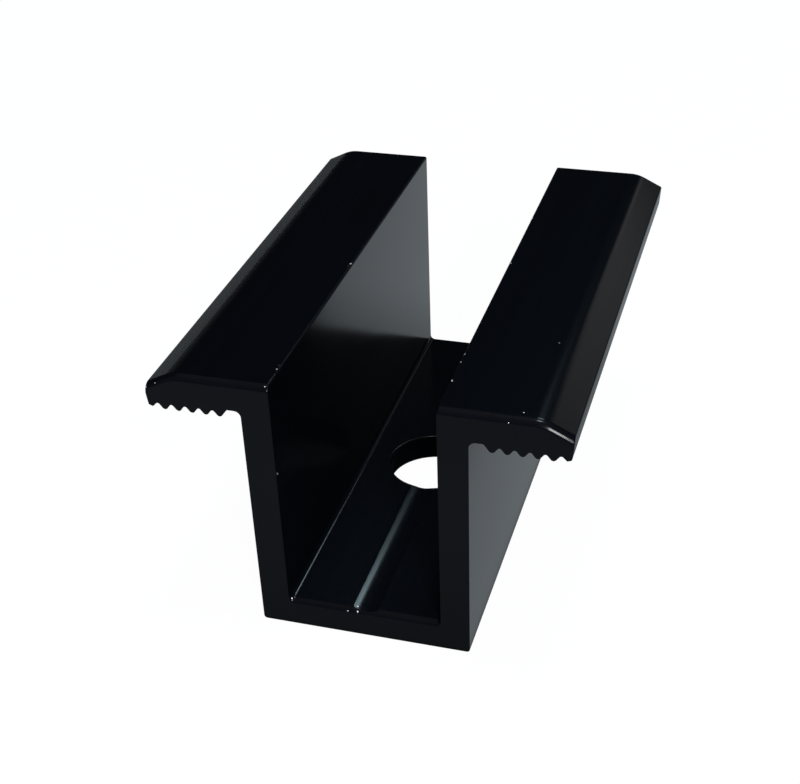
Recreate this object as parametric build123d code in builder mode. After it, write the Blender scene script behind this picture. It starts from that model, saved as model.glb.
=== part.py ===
from build123d import *
import os

# Solar mid clamp: one extruded body, millimetres, +Z up.
# Origin: centre of the bolt hole on the underside. The section runs along Y.

# driving sizes
length = 50.0             # along the module frames
overall_width = 37.4      # over both flanges
height = 25.8             # underside of the base to the flange tops
base_width = 20.0         # fills the gap between two module frames
wall = 2.7
base_thickness = 2.8
flange_root = 2.8         # flange thickness beside the wall
bolt_hole = 9.5           # clearance for an M8 bolt with room to settle

bevel_width = 2.6         # slope along the outer edge of each flange top
bevel_drop = 1.25
flange_side = 2.0         # upright outer side below the slope

tooth_pitch = 1.27
tooth_depth = 0.83        # between the sharp corners, before rounding
first_tooth = 1.95        # outer wall face to the first tip
tip_round = 0.3
valley_round = 0.2
tooth_seat = 0.1          # how far the tooth valleys sit below the flange root
end_tooth_run = 0.5       # last valley to the crest that merges with the outer side
end_tooth_drop = 0.15

groove_width = 2.5        # shallow groove that centres the drill on the floor
groove_depth = 0.2

corner_round = 0.5        # where the floor meets the walls
underside_round = 0.6     # where the flanges meet the walls
slope_round = 3.5         # where each flange top turns into its slope
edge_round = 0.2          # long outside edges
foot_round = 0.3          # bottom edges of the base
front_round = 0.7         # cut end that is rolled over on its upward edges

# derived sizes
half_width = overall_width / 2
half_base = base_width / 2
half_channel = half_base - wall
underside = height - flange_root
valley = underside - tooth_seat
tip = valley - tooth_depth
side_bottom = height - bevel_drop - flange_side
half_tooth = tooth_pitch / 2
teeth = int((half_width - half_base - first_tooth) / tooth_pitch)
groove_radius = ((groove_width / 2) ** 2 + groove_depth**2) / (2 * groove_depth)


def tooth_line():
    """Points under the right flange, from the wall to the outer side."""
    start = half_base + first_tooth
    points = [(start - half_tooth - tooth_seat, underside)]
    for index in range(teeth):
        centre = start + index * tooth_pitch
        points.append((centre - half_tooth, valley))
        points.append((centre, tip))
    last_valley = start + (teeth - 0.5) * tooth_pitch
    points.append((last_valley, valley))
    points.append((last_valley + end_tooth_run, side_bottom - end_tooth_drop))
    points.append((half_width, side_bottom))
    return points


with BuildPart() as clamp_body:
    # hat section: channel, two flanges, serrated undersides
    with BuildSketch(Plane.XZ) as section:
        with BuildLine():
            Polyline((0, 0), (half_base, 0), (half_base, underside), *tooth_line())
            Polyline(
                (half_width, side_bottom),
                (half_width, height - bevel_drop),
                (half_width - bevel_width, height),
                (half_channel, height),
                (half_channel, base_thickness),
                (0, base_thickness),
            )
            mirror(about=Plane.YZ)
        make_face()
        with Locations((0, base_thickness - groove_depth + groove_radius)):
            Circle(groove_radius, mode=Mode.SUBTRACT)

        corners = section.vertices()
        tips = corners.filter_by(lambda v: abs(v.Y - tip) < 0.01)
        fillet(tips, radius=tip_round)

        corners = section.vertices()
        valleys = corners.filter_by(lambda v: abs(v.Y - valley) < 0.01)
        fillet(valleys, radius=valley_round)

        corners = section.vertices()
        inner = corners.filter_by(
            lambda v: abs(abs(v.X) - half_channel) < 0.01 and abs(v.Y - base_thickness) < 0.01
        )
        fillet(inner, radius=corner_round)

        corners = section.vertices()
        under = corners.filter_by(
            lambda v: abs(abs(v.X) - half_base) < 0.01 and abs(v.Y - underside) < 0.01
        )
        fillet(under, radius=underside_round)

        corners = section.vertices()
        slope_starts = corners.filter_by(
            lambda v: abs(abs(v.X) - (half_width - bevel_width)) < 0.01 and v.Y > height - 0.01
        )
        fillet(slope_starts, radius=slope_round)

        corners = section.vertices()
        feet = corners.filter_by(lambda v: v.Y < 0.01 and abs(v.X) > half_base - 0.01)
        fillet(feet, radius=foot_round)

        corners = section.vertices()
        lower_sides = corners.filter_by(
            lambda v: abs(abs(v.X) - half_width) < 0.01 and v.Y < side_bottom + 0.01
        )
        fillet(lower_sides, radius=edge_round)
    extrude(amount=length / 2, both=True)

    # rolled front edges: flange tops with their slopes, then the channel floor
    front = clamp_body.faces().sort_by(Axis.Y)[0]
    rolled = front.edges().filter_by(lambda e: e.center().Z > height - bevel_drop)
    fillet(rolled, radius=front_round)

    with BuildSketch(Plane.YZ):
        with Locations((-length / 2, base_thickness - front_round)):
            Rectangle(
                front_round,
                front_round + corner_round,
                align=(Align.MIN, Align.MIN),
            )
        with Locations((-length / 2 + front_round, base_thickness - front_round)):
            Circle(front_round, mode=Mode.SUBTRACT)
    extrude(amount=half_channel, both=True, mode=Mode.SUBTRACT)

    # long edges at the channel mouth and at the top of each outer side
    long_edges = clamp_body.edges().filter_by(Axis.Y)
    mouth = long_edges.filter_by(
        lambda e: abs(abs(e.center().X) - half_channel) < 0.01 and e.center().Z > height - 0.01
    )
    shoulders = long_edges.filter_by(
        lambda e: abs(abs(e.center().X) - half_width) < 0.01
        and abs(e.center().Z - (height - bevel_drop)) < 0.01
    )
    fillet(mouth + shoulders, radius=edge_round)

    # bolt hole through the middle of the base
    with Locations((0, 0, base_thickness)):
        Hole(radius=bolt_hole / 2)

clamp_body.part.label = "clamp_body"

os.makedirs("parts", exist_ok=True)
export_step(clamp_body.part, "parts/clamp_body.step")

size = clamp_body.part.bounding_box().size
print(f"clamp_body {size.X:.2f} x {size.Y:.2f} x {size.Z:.2f} mm, {clamp_body.part.volume:.0f} mm3")
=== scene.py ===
import bpy, bmesh, math
from mathutils import Matrix, Vector


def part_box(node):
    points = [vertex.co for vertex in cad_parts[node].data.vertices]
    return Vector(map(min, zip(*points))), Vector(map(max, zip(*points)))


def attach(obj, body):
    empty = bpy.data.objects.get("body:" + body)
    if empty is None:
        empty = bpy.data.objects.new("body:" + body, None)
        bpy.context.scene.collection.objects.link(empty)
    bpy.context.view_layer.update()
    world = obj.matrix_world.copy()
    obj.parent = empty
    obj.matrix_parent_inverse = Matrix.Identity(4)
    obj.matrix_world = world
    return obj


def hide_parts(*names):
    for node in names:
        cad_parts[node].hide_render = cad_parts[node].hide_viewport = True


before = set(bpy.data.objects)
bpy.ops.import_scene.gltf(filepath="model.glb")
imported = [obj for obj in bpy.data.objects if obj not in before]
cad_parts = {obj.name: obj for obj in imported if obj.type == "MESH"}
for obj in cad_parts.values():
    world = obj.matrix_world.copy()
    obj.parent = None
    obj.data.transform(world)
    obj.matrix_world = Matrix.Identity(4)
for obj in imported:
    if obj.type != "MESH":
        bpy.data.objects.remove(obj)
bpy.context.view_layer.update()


lo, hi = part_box("clamp_body")

mm = 0.001
halfLength = (hi.y - lo.y) / 2 / mm

# the extruded section, in millimetres
section = {
    "base half": 10.0,
    "base thick": 2.8,
    "wall": 2.7,
    "height": (hi.z - lo.z) / mm,
    "half width": (hi.x - lo.x) / 2 / mm,
    "flange root": 2.8,
    "slope wide": 2.6,
    "slope drop": 1.25,
    "slope round": 3.5,
    "side": 2.0,
    "side lean": 0.14,
    "pitch": 1.27,
    "tooth deep": 0.83,
    "tip round": 0.3,
    "valley round": 0.2,
    "teeth": 5,
    "first tooth": 1.95,
    "seat": 0.1,
    "end run": 0.5,
    "end drop": 0.15,
    "end round": 0.12,
    "edge round": 0.2,
    "foot round": 0.3,
    "underside round": 0.6,
    "floor round": 0.5,
    "groove wide": 2.5,
    "groove deep": 0.2,
    "groove steps": 8,
}

# named inputs of the node tree that cuts the section to length and drills it
extrusion = {
    "Length": hi.y - lo.y - 0.01 * mm,  # a hair short, to stay inside the frame's box
    "Roll Radius": 0.7 * mm,
    "Roll Steps": 9,
    "Base Thickness": section["base thick"] * mm,
    "Hole Radius": 4.75 * mm,
    "Rim Break": 0.12 * mm,
    "Hole Sides": 144,
    "Drill Length": 12 * mm,
}


def cornerArc(before, corner, after, radius, steps):
    # the points of a rounded corner, and the centre they turn about
    a = (Vector(before) - Vector(corner)).normalized()
    b = (Vector(after) - Vector(corner)).normalized()
    half = a.angle(b) / 2
    reach = radius / math.tan(half)
    centre = Vector(corner) + (a + b).normalized() * (radius / math.sin(half))
    start = Vector(corner) + a * reach - centre
    end = Vector(corner) + b * reach - centre
    turn = start.angle_signed(end)
    points = []
    for i in range(steps + 1):
        points.append(centre + Matrix.Rotation(-turn * i / steps, 2) @ start)
    return points, centre


def rightHalf(size):
    # corners from the middle of the underside round to the middle of the floor:
    # place, radius, arc steps, how the rolled end moves it ("in", a direction or None)
    inner = size["base half"] - size["wall"]
    under = size["height"] - size["flange root"]
    valley = under - size["seat"]
    tip = valley - size["tooth deep"]
    sideTop = size["height"] - size["slope drop"]
    sideBottom = sideTop - size["side"]
    half = size["pitch"] / 2
    start = size["base half"] + size["first tooth"]
    slope = math.atan2(size["slope drop"], size["slope wide"])
    edge = size["edge round"]
    corners = [
        ((size["base half"], 0), size["foot round"], 4, None),
        ((size["base half"], under), size["underside round"], 7, None),
        ((start - half - size["seat"], under), 0, 0, None),
    ]
    for i in range(size["teeth"]):
        middle = start + i * size["pitch"]
        corners.append(((middle - half, valley), size["valley round"], 6, None))
        corners.append(((middle, tip), size["tip round"], 8, None))
    last = start + (size["teeth"] - 0.5) * size["pitch"]
    corners += [
        ((last, valley), size["valley round"], 6, None),
        ((last + size["end run"], sideBottom - size["end drop"]), size["end round"], 4, None),
        ((size["half width"] - size["side lean"], sideBottom), edge, 4, None),
        ((size["half width"], sideTop), edge, 5, (0, -1 / math.cos(slope))),
        ((size["half width"] - size["slope wide"], size["height"]), size["slope round"], 12, "in"),
        ((inner, size["height"]), edge, 5, (0, -1)),
        ((inner, size["base thick"]), size["floor round"], 7, (0, -1)),
    ]
    return corners


def groovePoints(size):
    # half of the shallow groove along the floor, which the roll leaves at its own depth
    half, deep, steps = size["groove wide"] / 2, size["groove deep"], size["groove steps"]
    radius = (half * half + deep * deep) / (2 * deep)
    reach = math.asin(half / radius)
    points = []
    for i in range(steps + 1):
        x = radius * math.sin(reach * (1 - i / steps))
        z = size["base thick"] - deep + radius - math.sqrt(radius * radius - x * x)
        points.append((x, z, 0, -1, size["base thick"] - z))
    return points


def sectionPoints(size):
    # x, z, the way the rolled end moves the point, and the first part of that move it skips
    corners = rightHalf(size)
    places = [(0, 0)] + [corner[0] for corner in corners] + [(0, size["base thick"])]
    points = []
    for i, (place, radius, steps, move) in enumerate(corners):
        if radius:
            arc, centre = cornerArc(places[i], place, places[i + 2], radius, steps)
        else:
            arc, centre = [Vector(place)], None
        for p in arc:
            if move == "in":
                way = (centre - p).normalized()
            else:
                way = Vector(move or (0, 0))
            points.append((p.x, p.y, way.x, way.y, 0.0))
    points += groovePoints(size)
    left = [(-x, z, -moveX, moveZ, skip) for x, z, moveX, moveZ, skip in reversed(points[:-1])]
    return points + left


def sectionMesh(size):
    points = sectionPoints(size)
    mesh = bpy.data.meshes.new("clampSection")
    edges = [(i, (i + 1) % len(points)) for i in range(len(points))]
    # a profile's own Y ends up pointing down on a rail along +Y with its normals up
    mesh.from_pydata([(p[0] * mm, -p[1] * mm, 0) for p in points], edges, [])
    mesh.attributes.new("rollMove", "FLOAT_VECTOR", "POINT")
    mesh.attributes.new("rollSkip", "FLOAT", "POINT")
    for i, (x, z, moveX, moveZ, skip) in enumerate(points):
        mesh.attributes["rollMove"].data[i].vector = (moveX, 0, moveZ)
        mesh.attributes["rollSkip"].data[i].value = skip * mm
    print("section", len(points), "points")
    return mesh


class Wire:
    # one node output, with arithmetic that adds Math nodes
    def __init__(self, graph, socket):
        self.graph = graph
        self.socket = socket

    def __add__(self, other):
        return self.graph.math("ADD", self, other)

    def __radd__(self, other):
        return self.graph.math("ADD", other, self)

    def __sub__(self, other):
        return self.graph.math("SUBTRACT", self, other)

    def __rsub__(self, other):
        return self.graph.math("SUBTRACT", other, self)

    def __mul__(self, other):
        return self.graph.math("MULTIPLY", self, other)

    def __rmul__(self, other):
        return self.graph.math("MULTIPLY", other, self)

    def __truediv__(self, other):
        return self.graph.math("DIVIDE", self, other)

    def __rtruediv__(self, other):
        return self.graph.math("DIVIDE", other, self)

    def __lt__(self, other):
        return self.graph.math("LESS_THAN", self, other)

    def __gt__(self, other):
        return self.graph.math("GREATER_THAN", self, other)

    def __neg__(self):
        return self.graph.math("MULTIPLY", self, -1.0)

    def __abs__(self):
        return self.graph.math("ABSOLUTE", self)


class Graph:
    def __init__(self, tree):
        self.tree = tree

    def add(self, kind, settings=None, inputs=None):
        # settings first, then values or links by place or by name; gives the outputs
        node = self.tree.nodes.new(kind)
        for name, value in (settings or {}).items():
            setattr(node, name, value)
        pairs = inputs.items() if isinstance(inputs, dict) else enumerate(inputs or [])
        for name, value in pairs:
            socket = node.inputs[name]
            if isinstance(value, Wire):
                self.tree.links.new(value.socket, socket)
            else:
                socket.default_value = value
        return [Wire(self, output) for output in node.outputs]

    def named(self, kind, settings=None, inputs=None):
        # the same, with the outputs by name
        return {output.socket.name: output for output in self.add(kind, settings, inputs)}

    def math(self, operation, *values):
        return self.add("ShaderNodeMath", {"operation": operation}, list(values))[0]

    def step(self, value, start, end):
        # 0 before start, 1 after end, smooth between
        return self.add(
            "ShaderNodeMapRange",
            {"interpolation_type": "SMOOTHSTEP"},
            {"Value": value, "From Min": start, "From Max": end},
        )[0]

    def scaled(self, vector, amount):
        return self.add(
            "ShaderNodeVectorMath", {"operation": "SCALE"}, {"Vector": vector, "Scale": amount}
        )[0]

    def mixed(self, factor, first, second):
        # a Mix node's two colours are its inputs 6 and 7
        outputs = self.add("ShaderNodeMix", {"data_type": "RGBA"}, {0: factor, 6: first, 7: second})
        return next(output for output in outputs if output.socket.type == "RGBA")

    def placeInMm(self):
        # Object coordinates in millimetres
        return self.scaled(self.named("ShaderNodeTexCoord")["Object"], 1 / mm)

    def split(self, vector):
        return self.add("ShaderNodeSeparateXYZ", None, [vector])


def emptyGraph(holder):
    # a material's or a world's nodes, cleared
    holder.use_nodes = True
    holder.node_tree.nodes.clear()
    return Graph(holder.node_tree)


def extrusionTree(material):
    tree = bpy.data.node_groups.new("cutExtrusion", "GeometryNodeTree")
    tree.interface.new_socket("Section", in_out="INPUT", socket_type="NodeSocketGeometry")
    for name, value in extrusion.items():
        kind = "NodeSocketInt" if isinstance(value, int) else "NodeSocketFloat"
        tree.interface.new_socket(name, in_out="INPUT", socket_type=kind)
    tree.interface.new_socket("Body", in_out="OUTPUT", socket_type="NodeSocketGeometry")
    graph = Graph(tree)
    given = graph.named("NodeGroupInput")
    length, roll, steps = given["Length"], given["Roll Radius"], given["Roll Steps"]

    # rail: close stations through the rolled end, then one long straight run
    line = graph.add("GeometryNodeCurvePrimitiveLine", None, {"Start": (0, -1, 0), "End": (0, 1, 0)})[0]
    line = graph.add("GeometryNodeResampleCurve", None, {"Curve": line, "Count": steps + 2})[0]
    index = graph.add("GeometryNodeInputIndex")[0]
    angle = index / steps * (math.pi / 2)
    rolled = index < steps + 0.5
    back = roll * (1 - graph.math("COSINE", angle))
    station = (back - length / 2) * rolled + length / 2 * (1 - rolled)
    inset = roll * (1 - graph.math("SINE", angle)) * rolled
    place = graph.add("ShaderNodeCombineXYZ", None, [0, station, 0])[0]
    line = graph.add("GeometryNodeSetPosition", None, {"Geometry": line, "Position": place})[0]
    line = graph.add(
        "GeometryNodeStoreNamedAttribute",
        {"data_type": "FLOAT", "domain": "POINT"},
        {"Geometry": line, "Name": "inset", "Value": inset},
    )[0]
    line = graph.add("GeometryNodeSetCurveNormal", {"mode": "Z_UP"}, {"Curve": line})[0]

    profile = graph.add("GeometryNodeMeshToCurve", None, {"Mesh": given["Section"]})[0]
    body = graph.add(
        "GeometryNodeCurveToMesh", None, {"Curve": line, "Profile Curve": profile, "Fill Caps": True}
    )[0]

    # the rolled end: each point moves into the metal by what its station asks
    def read(name, kind):
        return graph.add("GeometryNodeInputNamedAttribute", {"data_type": kind}, {"Name": name})[0]

    amount = graph.math("MAXIMUM", read("inset", "FLOAT") - read("rollSkip", "FLOAT"), 0.0)
    offset = graph.scaled(read("rollMove", "FLOAT_VECTOR"), amount)
    body = graph.add("GeometryNodeSetPosition", None, {"Geometry": body, "Offset": offset})[0]

    # bolt hole, with its two rims broken by cones that pass through them
    sides, bore, rim = given["Hole Sides"], given["Hole Radius"], given["Rim Break"]

    def flare(foot, top, bottom):
        cone = graph.add(
            "GeometryNodeMeshCone",
            None,
            {"Vertices": sides, "Radius Top": top, "Radius Bottom": bottom, "Depth": rim * 3},
        )[0]
        at = graph.add("ShaderNodeCombineXYZ", None, [0, 0, foot])[0]
        return graph.add("GeometryNodeTransform", None, {"Geometry": cone, "Translation": at})[0]

    drill = graph.add(
        "GeometryNodeMeshCylinder",
        None,
        {"Vertices": sides, "Radius": bore, "Depth": given["Drill Length"]},
    )[0]
    upper = flare(given["Base Thickness"] - rim * 2, bore + rim * 2, bore - rim)
    lower = flare(-rim, bore - rim, bore + rim * 2)
    for cutter in (drill, upper, lower):
        body = graph.add(
            "GeometryNodeMeshBoolean",
            {"operation": "DIFFERENCE", "solver": "EXACT"},
            {"Mesh 1": body, "Mesh 2": cutter},
        )[0]
    body = graph.add("GeometryNodeRealizeInstances", None, {"Geometry": body})[0]
    body = graph.add("GeometryNodeSetMaterial", None, {"Geometry": body, "Material": material})[0]
    graph.add("NodeGroupOutput", None, [body])
    return tree


def makePlain(host):
    # what the modifiers make becomes the object's own mesh
    depsgraph = bpy.context.evaluated_depsgraph_get()
    mesh = bpy.data.meshes.new_from_object(host.evaluated_get(depsgraph))
    host.modifiers.clear()
    host.data = mesh
    return mesh


def buildBody(material):
    host = bpy.data.objects.new("clampBody", sectionMesh(section))
    bpy.context.scene.collection.objects.link(host)
    tree = extrusionTree(material)
    modifier = host.modifiers.new("extrusion", "NODES")
    modifier.node_group = tree
    for item in tree.interface.items_tree:
        if item.in_out == "INPUT" and item.name in extrusion:
            modifier[item.identifier] = extrusion[item.name]
    mesh = makePlain(host)

    bm = bmesh.new()
    bm.from_mesh(mesh)
    bmesh.ops.remove_doubles(bm, verts=bm.verts, dist=0.002 * mm)
    bmesh.ops.recalc_face_normals(bm, faces=bm.faces)
    for face in bm.faces:
        face.smooth = True
    bm.to_mesh(mesh)
    bm.free()
    print("body", len(mesh.vertices), "points", len(mesh.polygons), "faces")
    return host


def finishEdges(body):
    # cut edges stay crisp, everything else shades smoothly with its flat faces flat
    body.data.set_sharp_from_angle(angle=math.radians(50))
    normals = body.modifiers.new("flatFacesFlat", "WEIGHTED_NORMAL")
    normals.keep_sharp = True
    mesh = makePlain(body)
    print("edges set", sum(edge.use_edge_sharp for edge in mesh.edges), "sharp")


# black anodised aluminium: colours, the way it shines, and where it is worn to bare metal
finish = {
    "body": (0.0011, 0.0015, 0.0024, 1),
    "cut": (0.0006, 0.0009, 0.0016, 1),
    "bare": (0.6, 0.6, 0.61, 1),
    "ior": 1.17,
    "body roughness": 0.16,
    "cut roughness": 0.3,
    "bare roughness": 0.6,
    "bare metallic": 0.5,
    "bump": 0.3,
    "bump depth": 0.01 * mm,
    "speck cells": 1.6,  # per millimetre
    "speck reach": 0.16,  # in cells
    "speck threshold": 0.45,
    "mouth": 7.35,  # millimetres from the middle to the channel's upper edges
    "mouth band": (0.1, 0.3),
    "mouth depth": (0.35, 0.1),
    # single knocks from above: across, behind the front end, and reach, in millimetres
    "spots": [
        (-7.1, 0.25, 0.06),
        (-0.8, 0.7, 0.08),
        (-0.65, 0.15, 0.07),
        (-1.6, 0.1, 0.045),
        (-17.7, 0.15, 0.04),
        (-18.6, 0.1, 0.04),
        (-7.6, 0.3, 0.045),
        (14.9, 12.75, 0.045),
        (14.3, 1.15, 0.055),
        (13.3, 0.05, 0.04),
    ],
    # one knock on the left wall: behind the front end, height and reach
    "wall spot": (0.35, 16.8, 0.08),
}

# noise per millimetre along x, y and z, its detail and its roughness
patterns = {
    "grain": ((9, 7, 9), 3, 0.6),
    "cloud": ((0.16, 0.07, 0.16), 2, 0.5),
    "saw marks": ((0.8, 6, 7.5), 4, 0.6),  # run across the end
    "broad lines": ((0.9, 0.012, 0.9), 3, 0.5),  # run the length of the extrusion
    "fine lines": ((5.5, 0.03, 5.5), 4, 0.62),
}


def topAt(x, depth):
    # height of the upper surface at a place, with the front end's roll
    x = abs(x)
    inner = section["base half"] - section["wall"]
    roll = extrusion["Roll Radius"] / mm
    drop = roll - math.sqrt(roll**2 - max(roll - depth, 0) ** 2)
    slopeStart = section["half width"] - section["slope wide"]
    if x > slopeStart:
        slope = math.atan2(section["slope drop"], section["slope wide"])
        return section["height"] - (x - slopeStart) * math.tan(slope) - drop / math.cos(slope)
    if x > inner:
        return section["height"] - drop
    corner = section["floor round"]
    rise = corner - math.sqrt(corner**2 - max(x - inner + corner, 0) ** 2)
    half, deep = section["groove wide"] / 2, section["groove deep"]
    groove = deep * max(1 - (x / half) ** 2, 0)
    return section["base thick"] + rise - max(drop, groove)


def spotPlaces():
    places = [((x, depth - halfLength, topAt(x, depth)), reach) for x, depth, reach in finish["spots"]]
    depth, height, reach = finish["wall spot"]
    leftWall = section["wall"] - section["base half"]
    return places + [((leftWall, depth - halfLength, height), reach)]


def bareSpecks(graph, place):
    # 1 where the anodising is knocked off a sharp edge
    x, y, z = graph.split(place)
    distance, cell = graph.add(
        "ShaderNodeTexVoronoi", {"feature": "F1"}, {"Vector": place, "Scale": finish["speck cells"]}
    )[:2]
    chance = graph.add("ShaderNodeSeparateColor", None, [cell])[0]
    start, full = (section["height"] - depth for depth in finish["mouth depth"])
    mouth = 1 - graph.step(abs(abs(x) - finish["mouth"]), *finish["mouth band"])
    mouth = mouth * graph.step(z, start, full)
    specks = (distance < finish["speck reach"]) * (chance > finish["speck threshold"]) * mouth
    for spot, reach in spotPlaces():
        away = graph.named("ShaderNodeVectorMath", {"operation": "DISTANCE"}, [place, spot])["Value"]
        specks = graph.math("MAXIMUM", specks, away < reach)
    return specks


def anodised(name, sawn):
    # black anodised aluminium: the drawn sides, or the sawn ends
    material = bpy.data.materials.new(name)
    graph = emptyGraph(material)
    place = graph.placeInMm()

    def noise(pattern):
        scale, detail, rough = patterns[pattern]
        at = graph.add("ShaderNodeVectorMath", {"operation": "MULTIPLY"}, [place, scale])[0]
        return graph.add(
            "ShaderNodeTexNoise",
            {"noise_dimensions": "3D"},
            {"Vector": at, "Scale": 1.0, "Detail": detail, "Roughness": rough},
        )[0]

    grain = noise("grain")
    cloud = noise("cloud")
    if sawn:
        lines = noise("saw marks")
        colour = finish["cut"]
        value = 0.5 + 0.5 * lines + 0.5 * cloud
        rough = finish["cut roughness"] - 0.06 + 0.12 * lines
        height = (lines - 0.5) * 0.8 + (grain - 0.5) * 0.4
    else:
        broad = noise("broad lines")
        fine = noise("fine lines")
        colour = finish["body"]
        value = 0.6 + 0.3 * broad + 0.2 * fine + 0.3 * cloud
        rough = finish["body roughness"] - 0.03 + 0.05 * broad + 0.03 * fine
        height = (fine - 0.5) * 0.3 + (grain - 0.5) * 0.12

    specks = bareSpecks(graph, place)
    plain = graph.add("ShaderNodeRGB")[0]
    plain.socket.default_value = colour
    bump = graph.add(
        "ShaderNodeBump",
        None,
        {"Strength": finish["bump"], "Distance": finish["bump depth"], "Height": height},
    )[0]
    shader = graph.add(
        "ShaderNodeBsdfPrincipled",
        None,
        {
            "Base Color": graph.mixed(specks, graph.scaled(plain, value), finish["bare"]),
            "Roughness": graph.math("MAXIMUM", rough, specks * finish["bare roughness"]),
            "Metallic": specks * finish["bare metallic"],
            "IOR": finish["ior"],
            "Normal": bump,
        },
    )[0]
    graph.add("ShaderNodeOutputMaterial", None, {"Surface": shader})
    return material


def dress(body, drawn, sawn):
    # the drawn sides, and the flat ends with the sawn finish
    body.data.materials.clear()
    body.data.materials.append(drawn)
    body.data.materials.append(sawn)
    endFace = (halfLength - 0.1) * mm
    for face in body.data.polygons:
        isEnd = abs(face.normal.y) > 0.97 and abs(face.center.y) > endFace
        face.material_index = 1 if isEnd else 0
    print("finishes", [slot.name for slot in body.data.materials])


# the pale table; places are in millimetres, where a painted shade begins and where it is full
table = {
    "colour": (0.73, 0.78, 0.82, 1),
    "reflected colour": (0.72, 0.80, 0.86, 1),
    "white": (1, 1, 1, 1),
    "reach": 450,
    "gap": 0.02,
    "lift": 0.97,
    # painted shade in the glow that reflections see: near the part, and in a strip on its +x side
    "near shade": 0.4,
    "near across": (16, 45),
    "near along": (24, 45),
    "side shade": 0.65,
    "side from": (18, 20),
    "side to": (30, 50),
    "foot blur": 0.5,
}


def tableMaterial():
    # white to the camera, pale in reflections, and with painted shade in that reflected glow close to
    # the part: a painted shadow under it, painted shade around it and in a strip on its +x side
    material = bpy.data.materials.new("paleFloor")
    graph = emptyGraph(material)
    path = graph.named("ShaderNodeLightPath")
    camera = path["Is Camera Ray"]
    x, y = graph.split(graph.placeInMm())[:2]
    blur = table["foot blur"]
    # painted shadow: the glow that reflections see is taken away under the part
    paintedShadowBeneath = 1 - graph.step(abs(x), section["base half"] - blur, section["base half"] + blur)
    paintedShadowBeneath = paintedShadowBeneath * (1 - graph.step(abs(y), halfLength - blur, halfLength + blur))
    # painted shade in that glow around the part, and in a strip beside its +x side
    near = 1 - graph.step(abs(x), *table["near across"])
    near = near * (1 - graph.step(abs(y), *table["near along"]))
    beside = graph.step(x, *table["side from"]) * (1 - graph.step(x, *table["side to"]))
    paintedShading = (1 - near * table["near shade"]) * (1 - beside * table["side shade"])
    lit = graph.math("MAXIMUM", camera, (1 - paintedShadowBeneath) * paintedShading)
    seen = graph.math("MAXIMUM", path["Is Glossy Ray"], path["Is Transmission Ray"])
    seen = graph.math("MAXIMUM", camera, seen) * table["lift"]
    tone = graph.mixed(camera, table["reflected colour"], table["white"])
    plain = graph.add("ShaderNodeBsdfDiffuse", None, {"Color": table["colour"]})[0]
    white = graph.add("ShaderNodeEmission", None, {"Color": tone, "Strength": lit})[0]
    surface = graph.add("ShaderNodeMixShader", None, [seen, plain, white])[0]
    graph.add("ShaderNodeOutputMaterial", None, {"Surface": surface})
    return material


def buildTable():
    mesh = bpy.data.meshes.new("floor")
    reach = table["reach"] * mm
    corners = [(-reach, -reach, 0), (reach, -reach, 0), (reach, reach, 0), (-reach, reach, 0)]
    mesh.from_pydata(corners, [], [(0, 1, 2, 3)])
    floor = bpy.data.objects.new("floor", mesh)
    floor.location.z = lo.z - table["gap"] * mm
    bpy.context.scene.collection.objects.link(floor)
    mesh.materials.append(tableMaterial())
    print("table laid")


# soft light of the room; ranges are parts of a unit direction
room = {
    "colour": (0.98, 0.99, 1, 1),
    "dim": 0.006,
    "horizon": 0.08,
    "horizon from": (-0.02, 0.08),
    "horizon to": (0.12, 0.4),
    "horizon aside": (0.42, 0.62),
    "zenith": 0.4,
    "zenith up": (0.74, 0.86),
    "fore": 0.25,
    "fore ahead": (0.2, 0.6),
    "fore up": (0.1, 0.3),
}


def buildRoom():
    world = bpy.data.worlds.new("room")
    bpy.context.scene.world = world
    graph = emptyGraph(world)
    across, along, up = graph.split(graph.named("ShaderNodeTexCoord")["Generated"])
    horizon = graph.step(up, *room["horizon from"]) * (1 - graph.step(up, *room["horizon to"]))
    horizon = horizon * graph.step(abs(across), *room["horizon aside"])
    fore = graph.step(-along, *room["fore ahead"]) * graph.step(up, *room["fore up"])
    zenith = graph.step(up, *room["zenith up"])
    level = room["dim"] + room["horizon"] * horizon + room["zenith"] * zenith + room["fore"] * fore
    camera = graph.named("ShaderNodeLightPath")["Is Camera Ray"]
    level = level + camera * (1 - level)  # plain white to the camera
    shader = graph.add(
        "ShaderNodeBackground", None, {"Color": room["colour"], "Strength": level}
    )[0]
    graph.add("ShaderNodeOutputWorld", None, {"Surface": shader})
    print("room lit")


# direction, distance and size in metres, power, and for some a tint and a lean in degrees
lamps = {
    "keyLight": {
        "direction": (0.3575, -0.8026, 0.477),
        "distance": 0.62,
        "wide": 0.06,
        "high": 0.27,
        "watts": 5.2,
        "lean": -33,
    },
    "backLight": {
        "direction": (0.06, 0.68, 0.75),
        "distance": 0.55,
        "wide": 0.09,
        "high": 0.08,
        "watts": 0.7,
        "tint": (0.66, 0.9, 1.0),
    },
    "rightBackLight": {
        "direction": (0.33, 0.82, 0.42),
        "distance": 0.55,
        "wide": 0.18,
        "high": 0.1,
        "watts": 0.045,
    },
    "topLight": {
        "direction": (0.07, 0.0, 1.0),
        "distance": 0.6,
        "wide": 0.1,
        "high": 0.1,
        "watts": 1.9,
    },
}


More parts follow.
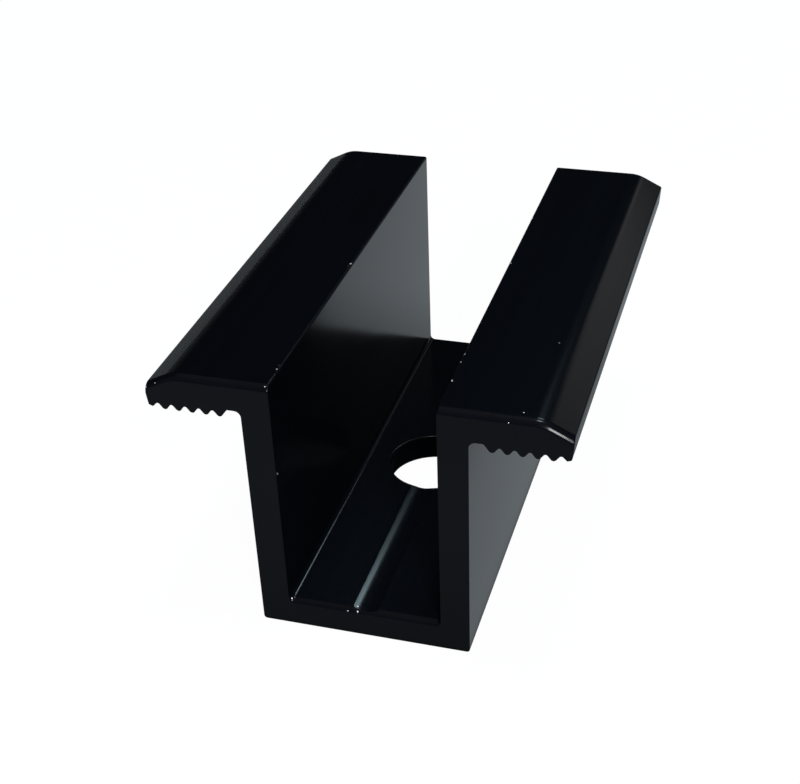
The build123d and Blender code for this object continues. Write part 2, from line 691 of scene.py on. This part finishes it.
def softbox(name, direction, distance, wide, high, watts, tint=(1, 1, 1), lean=0):
    light = bpy.data.lights.new(name, "AREA")
    light.shape = "RECTANGLE"
    light.size = wide
    light.size_y = high
    light.energy = watts
    light.color = tint
    lamp = bpy.data.objects.new(name, light)
    toLamp = Vector(direction).normalized()
    middle = Vector((0, 0, 0.013))  # half way up the part
    lamp.location = middle + toLamp * distance
    facing = toLamp.to_track_quat("Z", "Y").to_matrix() @ Matrix.Rotation(math.radians(lean), 3, "Z")
    lamp.rotation_euler = facing.to_euler()
    bpy.context.scene.collection.objects.link(lamp)


def buildLights():
    for name, lamp in lamps.items():
        softbox(name, **lamp)
    print("lamps", len(lamps))


# where the camera stands, in degrees and millimetres
view = {
    "turn": 17.75,
    "rise": 36.08,
    "roll": -2.41,
    "aim": (2.62, -20.89, 13.0),
    "distance": 125.37,
    "lens": 63.22,
    "shift": 0.135,
}


def buildCamera():
    turn, rise, roll = (math.radians(view[name]) for name in ("turn", "rise", "roll"))
    back = Vector((math.sin(turn) * math.cos(rise), -math.cos(turn) * math.cos(rise), math.sin(rise)))
    right = Vector((math.cos(turn), math.sin(turn), 0))
    up = back.cross(right)
    across = right * math.cos(roll) + up * math.sin(roll)
    above = up * math.cos(roll) - right * math.sin(roll)
    place = (Vector(view["aim"]) + back * view["distance"]) * mm
    data = bpy.data.cameras.new("camera")
    data.sensor_width = 36
    data.lens = view["lens"]
    data.shift_y = view["shift"]
    data.clip_start = 5 * mm
    camera = bpy.data.objects.new("camera", data)
    turned = Matrix((across, above, back)).transposed().to_4x4()
    camera.matrix_world = Matrix.Translation(place) @ turned
    bpy.context.scene.collection.objects.link(camera)
    bpy.context.scene.camera = camera
    print("camera set")


drawn, sawn = anodised("blackAnodised", False), anodised("blackSawnEnd", True)
body = buildBody(drawn)
finishEdges(body)
dress(body, drawn, sawn)
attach(body, "root")
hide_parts("clamp_body")

buildTable()
buildRoom()
buildLights()
buildCamera()
bpy.context.scene.view_settings.view_transform = "Standard"
